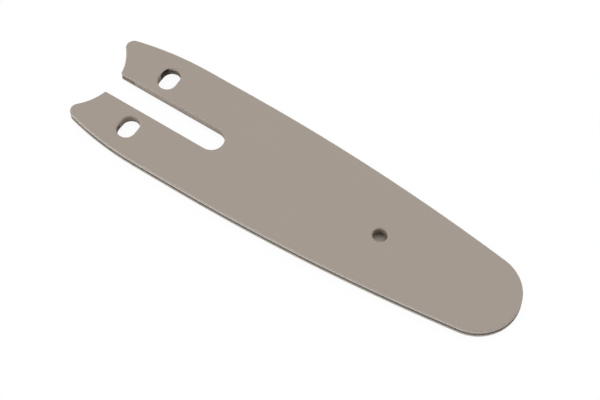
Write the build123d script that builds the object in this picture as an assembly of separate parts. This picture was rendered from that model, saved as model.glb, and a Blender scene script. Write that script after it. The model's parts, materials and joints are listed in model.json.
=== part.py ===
from build123d import *
from math import hypot, isclose, sqrt
import os

# Laminated guide bar for a small chainsaw: two side plates with a smaller core plate between them.
# It lies flat with its nose towards +X. The origin is the middle of its underside.
# Lengths along the bar are measured from the tips of the prongs. All sizes are in millimetres.

# Plates
side_plate_thickness = 1.1
core_thickness = 1.2  # the width of the chain groove
groove_depth = 7.0
core_setback = 10.0  # from the prong tips to the round tail of the core plate
edge_break = 0.3  # chamfer along the outline of the outer faces
rim_radius = 0.5  # rolled-in rims of the holes in the outer faces

# Outline
bar_length = 153.5
bar_width = 40.8
nose_radius = 13.7
flank_start = 44.5  # end of the parallel stretch, where the flanks begin to close in on the nose
shoulder_radius = 107.0
shoulder_drop = 3.1  # how far the outside of a prong tip lies within the full width
prong_tip_radius = 2.6
sprocket_setback = 13.0  # from the prong tips back to the axis of the drive sprocket

# Open slot for the bar stud
slot_width = 8.3
slot_reach = 47.8
slot_corner_radius = 0.5

# Oval holes for the tensioner pin, one in each prong, longer across the bar
adjuster_hole_width = 6.1
adjuster_hole_length = 8.2
adjuster_hole_spacing = 21.8
adjuster_hole_setback = 19.4

# Round hole on the axis
hanging_hole_diameter = 4.6
hanging_hole_to_nose = 47.6

# Centres of the outline's arcs, for the half of the bar on +Y
half_width = bar_width / 2
nose_center = Vector(bar_length - nose_radius, 0)
tip_center = Vector(prong_tip_radius, half_width - shoulder_drop - prong_tip_radius)
sprocket_center = Vector(-sprocket_setback, 0)

# The flank is the one arc that is tangent to the parallel stretch and to the nose round
taper_length = bar_length - flank_start
flank_radius = (half_width**2 + taper_length**2 - 2 * nose_radius * taper_length) / (
    2 * (half_width - nose_radius)
)
flank_center = Vector(flank_start, half_width - flank_radius)

# The shoulder is tangent to the parallel stretch and to the prong tip
shoulder_reach = shoulder_radius - prong_tip_radius
shoulder_start = tip_center.X + sqrt(shoulder_reach**2 - (shoulder_reach - shoulder_drop) ** 2)
shoulder_center = Vector(shoulder_start, half_width - shoulder_radius)

# The sprocket arc is tangent to the prong tips
sprocket_arc_radius = hypot(tip_center.X + sprocket_setback, tip_center.Y) - prong_tip_radius


def arc_about(center, start, end):
    """The shorter arc from start to end round a centre."""
    radius = (start - center).length
    middle = center + ((start - center) + (end - center)).normalized() * radius
    return ThreePointArc(start, middle, end)


def nose_and_flank(inset):
    """The nose round and the flank on +Y, moved inwards by an inset."""
    nose_tip = Vector(bar_length - inset, 0)
    nose_end = nose_center + (nose_center - flank_center).normalized() * (nose_radius - inset)
    flank_end = Vector(flank_start, half_width - inset)
    return [arc_about(nose_center, nose_tip, nose_end), arc_about(flank_center, nose_end, flank_end)]


def both_halves(half):
    """The face inside a half outline on +Y and its mirror image."""
    return make_face(half + [mirror(edge, about=Plane.XZ) for edge in half])


def side_blank():
    """Outline of a side plate before its slot and holes are punched."""
    shoulder_end = Vector(shoulder_start, half_width)
    tip_outside = tip_center + (tip_center - shoulder_center).normalized() * prong_tip_radius
    tip_inside = tip_center + (sprocket_center - tip_center).normalized() * prong_tip_radius
    sprocket_arc_middle = sprocket_center + Vector(sprocket_arc_radius, 0)
    tail = [
        Line(Vector(flank_start, half_width), shoulder_end),
        arc_about(shoulder_center, shoulder_end, tip_outside),
        arc_about(tip_center, tip_outside, tip_inside),
        arc_about(sprocket_center, tip_inside, sprocket_arc_middle),
    ]
    return both_halves(nose_and_flank(0) + tail)


def core_blank():
    """Outline of the core plate: the groove's depth inside flanks and nose, with a full-round tail."""
    core_half_width = half_width - groove_depth
    tail_center = Vector(core_setback + core_half_width, 0)
    tail_side = Vector(tail_center.X, core_half_width)
    tail = [
        Line(Vector(flank_start, core_half_width), tail_side),
        arc_about(tail_center, tail_side, Vector(core_setback, 0)),
    ]
    return both_halves(nose_and_flank(groove_depth) + tail)


def stud_slot():
    """Slot that is open at the tail and round at its other end."""
    straight = slot_reach - slot_width / 2
    return Pos(straight / 2, 0) * Rectangle(straight, slot_width) + Pos(straight, 0) * Circle(slot_width / 2)


def holes():
    """The adjuster hole of each prong and the hanging hole."""
    adjuster_hole = SlotOverall(adjuster_hole_length, adjuster_hole_width, rotation=90)
    prong_holes = [
        Pos(adjuster_hole_setback, side * adjuster_hole_spacing / 2) * adjuster_hole for side in (1, -1)
    ]
    hanging_hole = Pos(bar_length - hanging_hole_to_nose, 0) * Circle(hanging_hole_diameter / 2)
    return [*prong_holes, hanging_hole]


def side_plate():
    """One stamping, lying on its inner face, with the edges of its outer face broken or rolled in."""
    face = side_blank() - stud_slot()
    slot_edges = face.vertices().filter_by(lambda v: isclose(abs(v.Y), slot_width / 2, abs_tol=1e-4))
    slot_mouth = slot_edges.sort_by(Axis.X)[:2]
    face = fillet(slot_mouth, slot_corner_radius) - holes()
    plate = extrude(face, side_plate_thickness)
    hole_rims = [edge for rim in plate.faces().sort_by(Axis.Z)[-1].inner_wires() for edge in rim.edges()]
    plate = fillet(hole_rims, rim_radius)
    return chamfer(plate.faces().sort_by(Axis.Z)[-1].outer_wire().edges(), edge_break)


def core_plate():
    """Middle plate, whose edge is the groove's floor. It is flush with the side plates at slot and holes."""
    return extrude(core_blank() - stud_slot() - holes(), core_thickness)


def main():
    """Stack the plates about the middle of the underside and write one file for each."""
    os.makedirs("parts", exist_ok=True)
    plate = side_plate()
    core_bottom = side_plate_thickness
    core_top = core_bottom + core_thickness
    nodes = {
        "lower_side_plate": Pos(-bar_length / 2, 0, core_bottom) * Rot(180, 0, 0) * plate,
        "core_plate": Pos(-bar_length / 2, 0, core_bottom) * core_plate(),
        "upper_side_plate": Pos(-bar_length / 2, 0, core_top) * plate,
    }
    for name, shape in nodes.items():
        export_step(shape, f"parts/{name}.step")


main()
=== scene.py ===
import json
import logging
from dataclasses import dataclass
from enum import Enum
from functools import partial, reduce
from math import cos, pi, radians, sin

import bpy
from mathutils import Matrix, Vector

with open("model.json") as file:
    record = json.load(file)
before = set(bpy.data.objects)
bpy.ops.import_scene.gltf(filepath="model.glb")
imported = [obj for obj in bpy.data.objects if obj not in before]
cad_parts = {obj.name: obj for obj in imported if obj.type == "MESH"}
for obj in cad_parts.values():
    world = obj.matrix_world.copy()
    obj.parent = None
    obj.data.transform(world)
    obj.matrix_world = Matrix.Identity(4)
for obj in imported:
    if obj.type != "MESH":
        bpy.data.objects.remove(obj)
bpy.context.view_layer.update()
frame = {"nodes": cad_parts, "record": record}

# A short laminated guide bar that lies flat on a pale floor. All sizes are in metres.
MILLIMETRE = 0.001
WHITE = (1.0, 1.0, 1.0, 1.0)
Colour = tuple[float, float, float]
Point = tuple[float, float, float]
Span = tuple[float, float]
UNIT: Span = (0.0, 1.0)
log = logging.getLogger("guide_bar")


def find_mount(name: str) -> dict:
    """Find one of the bar's mounts.

    Args:
        name: The mount's name in the record.

    Returns:
        The mount's row in the record.
    """
    return next(mount for mount in frame["record"]["mounts"] if mount["name"] == name)


def look_at(target: Vector, azimuth: float, elevation: float, distance: float) -> Matrix:
    """Stand something at a distance from a point, facing it.

    Args:
        target: The point that it faces.
        azimuth: Degrees round the bar. 0 looks along +Y and 90 along -X.
        elevation: Degrees above the floor.
        distance: How far it stands from the target.

    Returns:
        Its place in the world, looking along its own -Z.
    """
    turn, rise = radians(azimuth), radians(elevation)
    away = Vector((sin(turn) * cos(rise), -cos(turn) * cos(rise), sin(rise)))
    stand = Matrix.Translation(target + away * distance)
    return stand @ away.to_track_quat("Z", "Y").to_matrix().to_4x4()


class Plate(Enum):
    """The three plates of the bar, by the names of their nodes."""

    UPPER = "upper_side_plate"
    CORE = "core_plate"
    LOWER = "lower_side_plate"


class SocketKind(Enum):
    """What a node group's socket carries."""

    VALUE = "NodeSocketFloat"
    VECTOR = "NodeSocketVector"


@dataclass(frozen=True)
class Layers:
    """The finer layers of a noise: how many there are, and how strong."""

    count: float
    strength: float


class Wiring:
    """Adds nodes to one node tree and joins them."""

    def __init__(self, tree: bpy.types.NodeTree) -> None:
        """Work in this tree."""
        self.tree = tree

    @classmethod
    def within(cls, owner: bpy.types.Material | bpy.types.World) -> "Wiring":
        """Empty the node tree of a material or a sky, to work in it.

        Args:
            owner: The material or the sky.

        Returns:
            The wiring of its tree.
        """
        owner.use_nodes = True
        owner.node_tree.nodes.clear()
        return cls(owner.node_tree)

    def add(self, kind: str, inputs: dict | None = None, **options: object) -> bpy.types.Node:
        """Add a node with its options and inputs set.

        Args:
            kind: The node's type, such as ShaderNodeTexNoise.
            inputs: A value, or a socket to join, for each named or numbered input.
            options: The node's own settings.

        Returns:
            The new node.
        """
        node = self.tree.nodes.new(kind)
        for name, value in options.items():
            setattr(node, name, value)
        for key, value in (inputs or {}).items():
            if isinstance(value, bpy.types.NodeSocket):
                self.tree.links.new(value, node.inputs[key])
            else:
                node.inputs[key].default_value = value
        return node

    def math(self, operation: str, first: object, second: object = 0.0) -> bpy.types.NodeSocket:
        """Work out one sum on two values or sockets.

        Args:
            operation: The sum, such as MULTIPLY.
            first: The first value or socket.
            second: The second value or socket.

        Returns:
            The result's socket.
        """
        return self.add("ShaderNodeMath", {0: first, 1: second}, operation=operation).outputs[0]

    def vector_math(
        self, operation: str, first: object, second: object = (0.0, 0.0, 0.0)
    ) -> bpy.types.NodeOutputs:
        """Work out one sum on two vectors or sockets.

        Args:
            operation: The sum, such as SUBTRACT.
            first: The first vector or socket.
            second: The second vector or socket.

        Returns:
            The outputs, with the result in Vector or in Value.
        """
        return self.add("ShaderNodeVectorMath", {0: first, 1: second}, operation=operation).outputs

    def weigh(
        self, values: dict[str, bpy.types.NodeSocket], weights: dict[str, float]
    ) -> bpy.types.NodeSocket:
        """Add up values, each times its weight.

        Args:
            values: The sockets, by name.
            weights: The weight of each value that counts, by the same names.

        Returns:
            The sum's socket.
        """
        parts = [self.math("MULTIPLY", values[name], weight) for name, weight in weights.items()]
        return reduce(partial(self.math, "ADD"), parts)

    def spread(
        self, value: bpy.types.NodeSocket, start: Span, end: Span = UNIT
    ) -> bpy.types.NodeSocket:
        """Stretch a value smoothly from one range to another, and hold it there.

        Args:
            value: The socket to stretch.
            start: The range that it comes from. It may run downwards.
            end: The range that it goes to.

        Returns:
            The result's socket.
        """
        inputs = {"Value": value, 1: start[0], 2: start[1], 3: end[0], 4: end[1]}
        return self.add("ShaderNodeMapRange", inputs, interpolation_type="SMOOTHSTEP").outputs[0]

    def noise(
        self, vector: bpy.types.NodeSocket, scale: object, layers: Layers
    ) -> bpy.types.NodeSocket:
        """Lay noise over the surface.

        Args:
            vector: The coordinates that it follows.
            scale: Repeats in a metre, as a value or a socket.
            layers: Its finer layers.

        Returns:
            The noise's value, from 0 to 1.
        """
        inputs = {
            "Vector": vector,
            "Scale": scale,
            "Detail": layers.count,
            "Roughness": layers.strength,
        }
        return self.add("ShaderNodeTexNoise", inputs).outputs[0]

    def fade(self, mask: object, first: object, second: object) -> bpy.types.NodeSocket:
        """Go from one value to another by a mask.

        Args:
            mask: 0 for the first value and 1 for the second.
            first: A value or a socket.
            second: A value or a socket.

        Returns:
            The result's socket.
        """
        return self.add("ShaderNodeMix", {0: mask, 2: first, 3: second}).outputs[0]

    def blend(self, mask: object, first: object, second: object) -> bpy.types.NodeSocket:
        """Go from one colour to another by a mask.

        Args:
            mask: 0 for the first colour and 1 for the second.
            first: A colour or a socket.
            second: A colour or a socket.

        Returns:
            The blended colour's socket.
        """
        # The node has its colours at inputs 6 and 7, and the blend of them at output 2.
        inputs = {0: mask}
        for key, colour in ((6, first), (7, second)):
            inputs[key] = colour if isinstance(colour, bpy.types.NodeSocket) else (*colour, 1.0)
        return self.add("ShaderNodeMix", inputs, data_type="RGBA").outputs[2]

    def levelness(self) -> bpy.types.NodeSocket:
        """Tell how level the surface lies.

        Returns:
            A value from 0 on an upright wall to 1 on a flat face.
        """
        normal = self.add("ShaderNodeNewGeometry").outputs["Normal"]
        upward = self.add("ShaderNodeSeparateXYZ", {0: normal}).outputs["Z"]
        return self.math("ABSOLUTE", upward)


class Effect:
    """A node group for one surface effect, built once and shared by the finishes."""

    name: str
    inputs: dict[str, SocketKind]
    outputs: dict[str, SocketKind]

    def __init__(self) -> None:
        """Make the group with its sockets and fill it."""
        self.tree = bpy.data.node_groups.new(self.name, "ShaderNodeTree")
        for direction, sockets in (("INPUT", self.inputs), ("OUTPUT", self.outputs)):
            for label, kind in sockets.items():
                self.tree.interface.new_socket(name=label, in_out=direction, socket_type=kind.value)
        wiring = Wiring(self.tree)
        entry = wiring.add("NodeGroupInput")
        wiring.add("NodeGroupOutput", self.fill(wiring, entry.outputs))

    def fill(self, wiring: Wiring, entry: bpy.types.NodeOutputs) -> dict[str, bpy.types.NodeSocket]:
        """Add the group's nodes.

        Args:
            wiring: The group's tree.
            entry: The sockets of the group's input.

        Returns:
            The socket that feeds each output, by name.
        """
        raise NotImplementedError

    def place(self, wiring: Wiring, inputs: dict) -> bpy.types.NodeOutputs:
        """Put the group in a material.

        Args:
            wiring: The material's tree.
            inputs: A value or a socket for each input.

        Returns:
            The group's outputs in that material.
        """
        return wiring.add("ShaderNodeGroup", inputs, node_tree=self.tree).outputs


class CoatGrain(Effect):
    """Soft clouds, a fine grain and faint rolling lines along the bar, as in paint on rolled steel."""

    name = "coat_grain"
    inputs = {
        "Vector": SocketKind.VECTOR,
        "Grain Scale": SocketKind.VALUE,
        "Cloud Scale": SocketKind.VALUE,
        "Rolling Scale": SocketKind.VALUE,
    }
    outputs = {"Tone": SocketKind.VALUE, "Dullness": SocketKind.VALUE, "Height": SocketKind.VALUE}
    grain_layers = Layers(count=3.0, strength=0.55)
    cloud_layers = Layers(count=4.0, strength=0.5)
    line_layers = Layers(count=2.0, strength=0.5)
    line_stretch: Point = (0.012, 1.0, 1.0)
    tone_weights = {"grain": 0.3, "lines": 0.15, "cloud": 0.55}
    dullness_weights = {"cloud": 0.5, "grain": 0.5}
    height_weights = {"grain": 0.75, "lines": 0.25}
    contrast: Span = (0.3, 0.7)

    def fill(self, wiring: Wiring, entry: bpy.types.NodeOutputs) -> dict[str, bpy.types.NodeSocket]:
        """Add clouds, grain and lines.

        Args:
            wiring: The group's tree.
            entry: The sockets of the group's input.

        Returns:
            The socket that feeds each output, by name.
        """
        vector = entry["Vector"]
        stretched = wiring.vector_math("MULTIPLY", vector, self.line_stretch)["Vector"]
        marks = {
            "grain": wiring.noise(vector, entry["Grain Scale"], self.grain_layers),
            "cloud": wiring.noise(vector, entry["Cloud Scale"], self.cloud_layers),
            "lines": wiring.noise(stretched, entry["Rolling Scale"], self.line_layers),
        }
        return {
            "Tone": wiring.spread(wiring.weigh(marks, self.tone_weights), self.contrast),
            "Dullness": wiring.spread(wiring.weigh(marks, self.dullness_weights), self.contrast),
            "Height": wiring.weigh(marks, self.height_weights),
        }


class RubbedEdge(Effect):
    """Masks for rubbed edges, for the cut faces across a plate, and for the rails among those faces."""

    name = "rubbed_edge"
    inputs = {
        "Vector": SocketKind.VECTOR,
        "Reach": SocketKind.VALUE,
        "Break Scale": SocketKind.VALUE,
        "Rail Side": SocketKind.VALUE,
        "Rail Nose": SocketKind.VALUE,
    }
    outputs = {"Rub": SocketKind.VALUE, "Cut": SocketKind.VALUE, "Rail": SocketKind.VALUE}
    bevel_samples = 6
    edge_likeness: Span = (0.985, 0.86)
    patch_layers = Layers(count=3.0, strength=0.6)
    patch_contrast: Span = (0.3, 0.6)
    patch_share: Span = (0.5, 1.0)
    cut_levelness: Span = (0.6, 0.2)

    def fill(self, wiring: Wiring, entry: bpy.types.NodeOutputs) -> dict[str, bpy.types.NodeSocket]:
        """Find edges by how much a rounded normal differs from the flat one, and rails by their place.

        Args:
            wiring: The group's tree.
            entry: The sockets of the group's input.

        Returns:
            The socket that feeds each output, by name.
        """
        flat = wiring.add("ShaderNodeNewGeometry").outputs["Normal"]
        bevel = wiring.add("ShaderNodeBevel", {"Radius": entry["Reach"]}, samples=self.bevel_samples)
        likeness = wiring.vector_math("DOT_PRODUCT", flat, bevel.outputs[0])["Value"]
        edge = wiring.spread(likeness, self.edge_likeness)
        patches = wiring.noise(entry["Vector"], entry["Break Scale"], self.patch_layers)
        broken = wiring.spread(patches, self.patch_contrast, self.patch_share)
        place = wiring.add("ShaderNodeSeparateXYZ", {0: entry["Vector"]}).outputs
        beside = wiring.math("GREATER_THAN", wiring.math("ABSOLUTE", place["Y"]), entry["Rail Side"])
        ahead = wiring.math("GREATER_THAN", place["X"], entry["Rail Nose"])
        outer = wiring.math("MAXIMUM", beside, ahead)
        cut = wiring.spread(wiring.levelness(), self.cut_levelness)
        return {
            "Rub": wiring.math("MULTIPLY", wiring.math("MULTIPLY", edge, broken), outer),
            "Cut": cut,
            "Rail": wiring.math("MULTIPLY", cut, outer),
        }


class PaintedHoleShade(Effect):
    """A mask for painted shade on the walls beside one spot, with a ragged border."""

    name = "old_oil"
    inputs = {
        "Vector": SocketKind.VECTOR,
        "Spot": SocketKind.VECTOR,
        "Reach": SocketKind.VALUE,
        "Break Scale": SocketKind.VALUE,
    }
    outputs = {"Painted Shade": SocketKind.VALUE}
    on_the_level: Point = (1.0, 1.0, 0.0)
    patch_layers = Layers(count=3.0, strength=0.6)
    patch_middle = 0.5
    ragged = 0.5
    border: Span = (1.4, 0.7)
    wall_levelness: Span = (0.85, 0.5)

    def fill(self, wiring: Wiring, entry: bpy.types.NodeOutputs) -> dict[str, bpy.types.NodeSocket]:
        """Measure how far each point lies from the spot on the level, and roughen the border with noise.

        Args:
            wiring: The group's tree.
            entry: The sockets of the group's input.

        Returns:
            The socket that feeds each output, by name.
        """
        offset = wiring.vector_math("SUBTRACT", entry["Vector"], entry["Spot"])["Vector"]
        beside = wiring.vector_math("MULTIPLY", offset, self.on_the_level)["Vector"]
        away = wiring.vector_math("LENGTH", beside)["Value"]
        patches = wiring.noise(entry["Vector"], entry["Break Scale"], self.patch_layers)
        uneven = wiring.math("SUBTRACT", patches, self.patch_middle)
        shares = {"away": wiring.math("DIVIDE", away, entry["Reach"]), "uneven": uneven}
        patch = wiring.spread(wiring.weigh(shares, {"away": 1.0, "uneven": self.ragged}), self.border)
        wall = wiring.spread(wiring.levelness(), self.wall_levelness)
        return {"Painted Shade": wiring.math("MULTIPLY", patch, wall)}


@dataclass(frozen=True)
class WearAndShadePlaces:
    """Where the bar is worn on rails beyond the holes, and where shade is painted in the left adjuster
    hole.
    """

    rail_side: float = 15.8 * MILLIMETRE
    rail_nose: float = 45 * MILLIMETRE
    hole_shade_shift: float = 1.5 * MILLIMETRE
    hole_shade_reach: float = 1.7 * MILLIMETRE

    def hole_shade_spot(self) -> Point:
        """Find the middle of the painted shade, on the hole's tail side and shifted towards the flank.

        Returns:
            The spot, halfway up the bar.
        """
        holes = find_mount("adjuster_holes")
        along, _, height = holes["pos_m"]
        radius = holes["dims"]["hole_r_mm"] * MILLIMETRE
        aside = holes["dims"]["spacing_y_mm"] / 2 * MILLIMETRE
        return along - radius, aside + self.hole_shade_shift, height


@dataclass(frozen=True)
class CoatFinish:
    """A satin coat on steel plate, paler where edges rub, with painted shade on the walls of the left
    adjuster hole.
    """

    slot: str
    deep: Colour
    pale: Colour
    cut: Colour
    rail: Colour
    rubbed: Colour
    roughness: Span
    rub_reach: float
    rub_strength: float
    relief: float
    grain_size: float = 0.45 * MILLIMETRE
    cloud_size: float = 22 * MILLIMETRE
    line_size: float = 0.3 * MILLIMETRE
    patch_size: float = 5 * MILLIMETRE
    rubbed_roughness: float = 0.36
    # Near-black colour of the painted shade on the walls of the left adjuster hole.
    oil: Colour = (0.016, 0.012, 0.009)
    hole_shade_roughness: float = 0.8
    hole_shade_patch_size: float = 1.2 * MILLIMETRE
    gloss: float = 0.3

    def material(
        self, grain: CoatGrain, edge: RubbedEdge, oil: PaintedHoleShade, places: WearAndShadePlaces
    ) -> bpy.types.Material:
        """Make this finish's material.

        Args:
            grain: The shared grain group.
            edge: The shared edge group.
            oil: The shared group that places the painted shade in the hole.
            places: Where the bar is worn.

        Returns:
            The new material.
        """
        material = bpy.data.materials.new(self.slot)
        wiring = Wiring.within(material)
        vector = wiring.add("ShaderNodeTexCoord").outputs["Object"]
        scales = {
            "Vector": vector,
            "Grain Scale": 1 / self.grain_size,
            "Cloud Scale": 1 / self.cloud_size,
            "Rolling Scale": 1 / self.line_size,
        }
        coat = grain.place(wiring, scales)
        reach = {
            "Vector": vector,
            "Reach": self.rub_reach,
            "Break Scale": 1 / self.patch_size,
            "Rail Side": places.rail_side,
            "Rail Nose": places.rail_nose,
        }
        wear = edge.place(wiring, reach)
        hole_shade_inputs = {
            "Vector": vector,
            "Spot": places.hole_shade_spot(),
            "Reach": places.hole_shade_reach,
            "Break Scale": 1 / self.hole_shade_patch_size,
        }
        # Painted shade: this mask darkens the walls at one end of the left adjuster hole.
        painted_shade = oil.place(wiring, hole_shade_inputs)["Painted Shade"]
        rub = wiring.math("MULTIPLY", wear["Rub"], self.rub_strength)
        face = wiring.blend(coat["Tone"], self.deep, self.pale)
        wall = wiring.blend(wear["Rail"], wiring.blend(wear["Cut"], face, self.cut), self.rail)
        colour = wiring.blend(painted_shade, wiring.blend(rub, wall, self.rubbed), self.oil)
        dullness = wiring.spread(coat["Dullness"], UNIT, self.roughness)
        rubbed = wiring.fade(rub, dullness, self.rubbed_roughness)
        relief = {"Distance": self.relief, "Height": coat["Height"]}
        surface = {
            "Base Color": colour,
            "Roughness": wiring.fade(painted_shade, rubbed, self.hole_shade_roughness),
            "Normal": wiring.add("ShaderNodeBump", relief).outputs[0],
            "Specular IOR Level": self.gloss,
        }
        shader = wiring.add("ShaderNodeBsdfPrincipled", surface).outputs[0]
        wiring.add("ShaderNodeOutputMaterial", {"Surface": shader})
        return material


PLATE_COAT = CoatFinish(
    slot="plate_coat",
    deep=(0.358, 0.306, 0.262),
    pale=(0.374, 0.322, 0.276),
    cut=(0.368, 0.319, 0.275),
    rail=(0.46, 0.43, 0.39),
    rubbed=(0.58, 0.55, 0.51),
    roughness=(0.46, 0.54),
    rub_reach=0.25 * MILLIMETRE,
    rub_strength=0.7,
    relief=0.006 * MILLIMETRE,
)
CORE_COAT = CoatFinish(
    slot="core_coat",
    deep=(0.318, 0.274, 0.235),
    pale=(0.342, 0.296, 0.255),
    cut=(0.355, 0.309, 0.267),
    rail=(0.31, 0.271, 0.235),
    rubbed=(0.38, 0.345, 0.305),
    roughness=(0.50, 0.60),
    rub_reach=0.15 * MILLIMETRE,
    rub_strength=0.4,
    relief=0.010 * MILLIMETRE,
)


@dataclass
class GuideBar:
    """The bar's three plates and the finish of each."""

    upper: CoatFinish = PLATE_COAT
    core: CoatFinish = CORE_COAT
    lower: CoatFinish = PLATE_COAT
    places: WearAndShadePlaces = WearAndShadePlaces()

    def dress(self) -> None:
        """Give every plate its finish."""
        grain, edge, oil = CoatGrain(), RubbedEdge(), PaintedHoleShade()
        worn = {Plate.UPPER: self.upper, Plate.CORE: self.core, Plate.LOWER: self.lower}
        made: dict[CoatFinish, bpy.types.Material] = {}
        for plate, finish in worn.items():
            if finish not in made:
                made[finish] = finish.material(grain, edge, oil, self.places)
            for slot in frame["nodes"][plate.value].material_slots:
                slot.material = made[finish]
            log.info("%s wears %s", plate.value, finish.slot)


@dataclass(frozen=True)
class SoftBox:
    """A large square lamp that faces the bar."""

    name: str
    azimuth: float
    elevation: float
    distance: float
    side: float
    level: float

    def build(self) -> None:
        """Hang the lamp, at the power that gives its level on the floor."""
        lamp = bpy.data.lights.new(self.name, "AREA")
        lamp.shape = "SQUARE"
        lamp.size = self.side
        lamp.energy = self.level * (pi * self.distance) ** 2 / sin(radians(self.elevation))
        holder = bpy.data.objects.new(self.name, lamp)
        holder.matrix_world = look_at(Vector(), self.azimuth, self.elevation, self.distance)
        bpy.context.scene.collection.objects.link(holder)
        log.info("%s gives %.2f of the light", self.name, self.level)


def white_share(wiring: Wiring, shown: object, mirrored: object) -> bpy.types.NodeSocket:
    """Tell how much of each ray sees plain white. The rays that carry light to the bar see none.

    Args:
        wiring: The tree of the floor or the sky.
        shown: The share for the camera's own rays.
        mirrored: The share for glossy and transmission rays.

    Returns:
        The share of white, from 0 to 1.
    """
    rays = wiring.add("ShaderNodeLightPath").outputs
    passed_on = wiring.math("MAXIMUM", rays["Is Glossy Ray"], rays["Is Transmission Ray"])
    direct = wiring.math("MULTIPLY", rays["Is Camera Ray"], shown)
    return wiring.math("MAXIMUM", direct, wiring.math("MULTIPLY", passed_on, mirrored))


@dataclass
class Studio:
    """A white floor, soft light all round and a camera above the bar's near side."""

    floor_radius: float = 3.0
    floor_corners: int = 96
    floor_gap: float = 0.02 * MILLIMETRE
    floor_colour: Colour = (0.8, 0.8, 0.8)
    # Painted shade: a darker, warmer floor colour under the hanging hole only.
    pit_shade_colour: Colour = (0.53, 0.48, 0.43)
    pit_spread: float = 1.5
    shade_reach: float = 15 * MILLIMETRE
    shade_samples: int = 16
    shade_open: Span = (0.3, 1.0)
    shade_white: Span = (0.93, 1.0)
    mirror_open: Span = (0.5, 0.95)
    sky_heights: Span = (0.0, 0.6)
    sky_levels: Span = (2.0, 0.15)
    lens: float = 102.0
    sensor: float = 36.0
    clip_start: float = 10 * MILLIMETRE
    camera_azimuth: float = 33.756
    camera_elevation: float = 59.432
    camera_distance: float = 519.0 * MILLIMETRE
    camera_target: Point = (2.30 * MILLIMETRE, -3.26 * MILLIMETRE, 3.4 * MILLIMETRE)
    lamps: tuple[SoftBox, ...] = (
        SoftBox("key_lamp", azimuth=190, elevation=67, distance=1.6, side=1.0, level=0.395),
        SoftBox("side_lamp", azimuth=-40, elevation=30, distance=1.6, side=1.0, level=0.22),
    )

    def build(self) -> None:
        """Set up floor, sky, lamps and camera."""
        bpy.context.scene.view_settings.view_transform = "Standard"
        self.build_floor()
        self.build_sky()
        for lamp in self.lamps:
            lamp.build()
        self.build_camera()

    def floor_material(self) -> bpy.types.Material:
        """Make the floor's finish. It shows as white, but for shade by the bar and the hanging hole's pit,
        which is lit and painted a darker colour as shade.

        Returns:
            The new material.
        """
        material = bpy.data.materials.new("white_floor")
        wiring = Wiring.within(material)
        hole = find_mount("hanging_hole")
        pit_middle = (*hole["pos_m"][:2], 0.0)
        pit_radius = self.pit_spread * hole["dims"]["r_mm"] * MILLIMETRE
        place = wiring.add("ShaderNodeTexCoord").outputs["Object"]
        away = wiring.vector_math("DISTANCE", place, pit_middle)["Value"]
        outside = wiring.math("GREATER_THAN", away, pit_radius)
        openness = wiring.add(
            "ShaderNodeAmbientOcclusion", {"Distance": self.shade_reach}, samples=self.shade_samples
        ).outputs["AO"]
        shade = wiring.spread(openness, self.shade_open, self.shade_white)
        mirrored = wiring.spread(openness, self.mirror_open)
        share = white_share(wiring, wiring.math("MULTIPLY", shade, outside), mirrored)
        # Painted shade: the floor under the hanging hole takes the darker pit colour.
        ground = wiring.blend(outside, self.pit_shade_colour, self.floor_colour)
        lit = wiring.add("ShaderNodeBsdfDiffuse", {"Color": ground}).outputs[0]
        white = wiring.add("ShaderNodeEmission", {"Color": WHITE, "Strength": 1.0}).outputs[0]
        mixed = wiring.add("ShaderNodeMixShader", {0: share, 1: lit, 2: white}).outputs[0]
        wiring.add("ShaderNodeOutputMaterial", {"Surface": mixed})
        return material

    def build_floor(self) -> None:
        """Lay a round floor just under the bar."""
        bpy.ops.object.select_all(action="DESELECT")
        bpy.ops.mesh.primitive_circle_add(
            vertices=self.floor_corners,
            radius=self.floor_radius,
            fill_type="NGON",
            location=(0.0, 0.0, -self.floor_gap),
        )
        floor = bpy.context.active_object
        floor.name = "floor"
        floor.data.materials.append(self.floor_material())

    def build_sky(self) -> None:
        """Surround the bar with soft light, strongest at the horizon, that shows as white."""
        sky = bpy.data.worlds.new("white_sky")
        wiring = Wiring.within(sky)
        heading = wiring.add("ShaderNodeTexCoord").outputs["Generated"]
        height = wiring.add("ShaderNodeSeparateXYZ", {0: heading}).outputs["Z"]
        level = wiring.spread(height, self.sky_heights, self.sky_levels)
        light = wiring.add("ShaderNodeBackground", {"Color": WHITE, "Strength": level}).outputs[0]
        shown = wiring.add("ShaderNodeBackground", {"Color": WHITE, "Strength": 1.0}).outputs[0]
        share = white_share(wiring, 1.0, 1.0)
        mixed = wiring.add("ShaderNodeMixShader", {0: share, 1: light, 2: shown}).outputs[0]
        wiring.add("ShaderNodeOutputWorld", {"Surface": mixed})
        bpy.context.scene.world = sky

    def build_camera(self) -> None:
        """Stand the camera where the photograph was taken from."""
        camera = bpy.data.cameras.new("camera")
        camera.lens = self.lens
        camera.sensor_width = self.sensor
        camera.clip_start = self.clip_start
        stand = bpy.data.objects.new("camera", camera)
        stand.matrix_world = look_at(
            Vector(self.camera_target), self.camera_azimuth, self.camera_elevation, self.camera_distance
        )
        bpy.context.scene.collection.objects.link(stand)
        bpy.context.scene.camera = stand


def main() -> None:
    """Dress the bar and set up the studio round it."""
    logging.basicConfig(level=logging.INFO, format="%(message)s")
    GuideBar().dress()
    Studio().build()


if __name__ == "__main__":
    main()
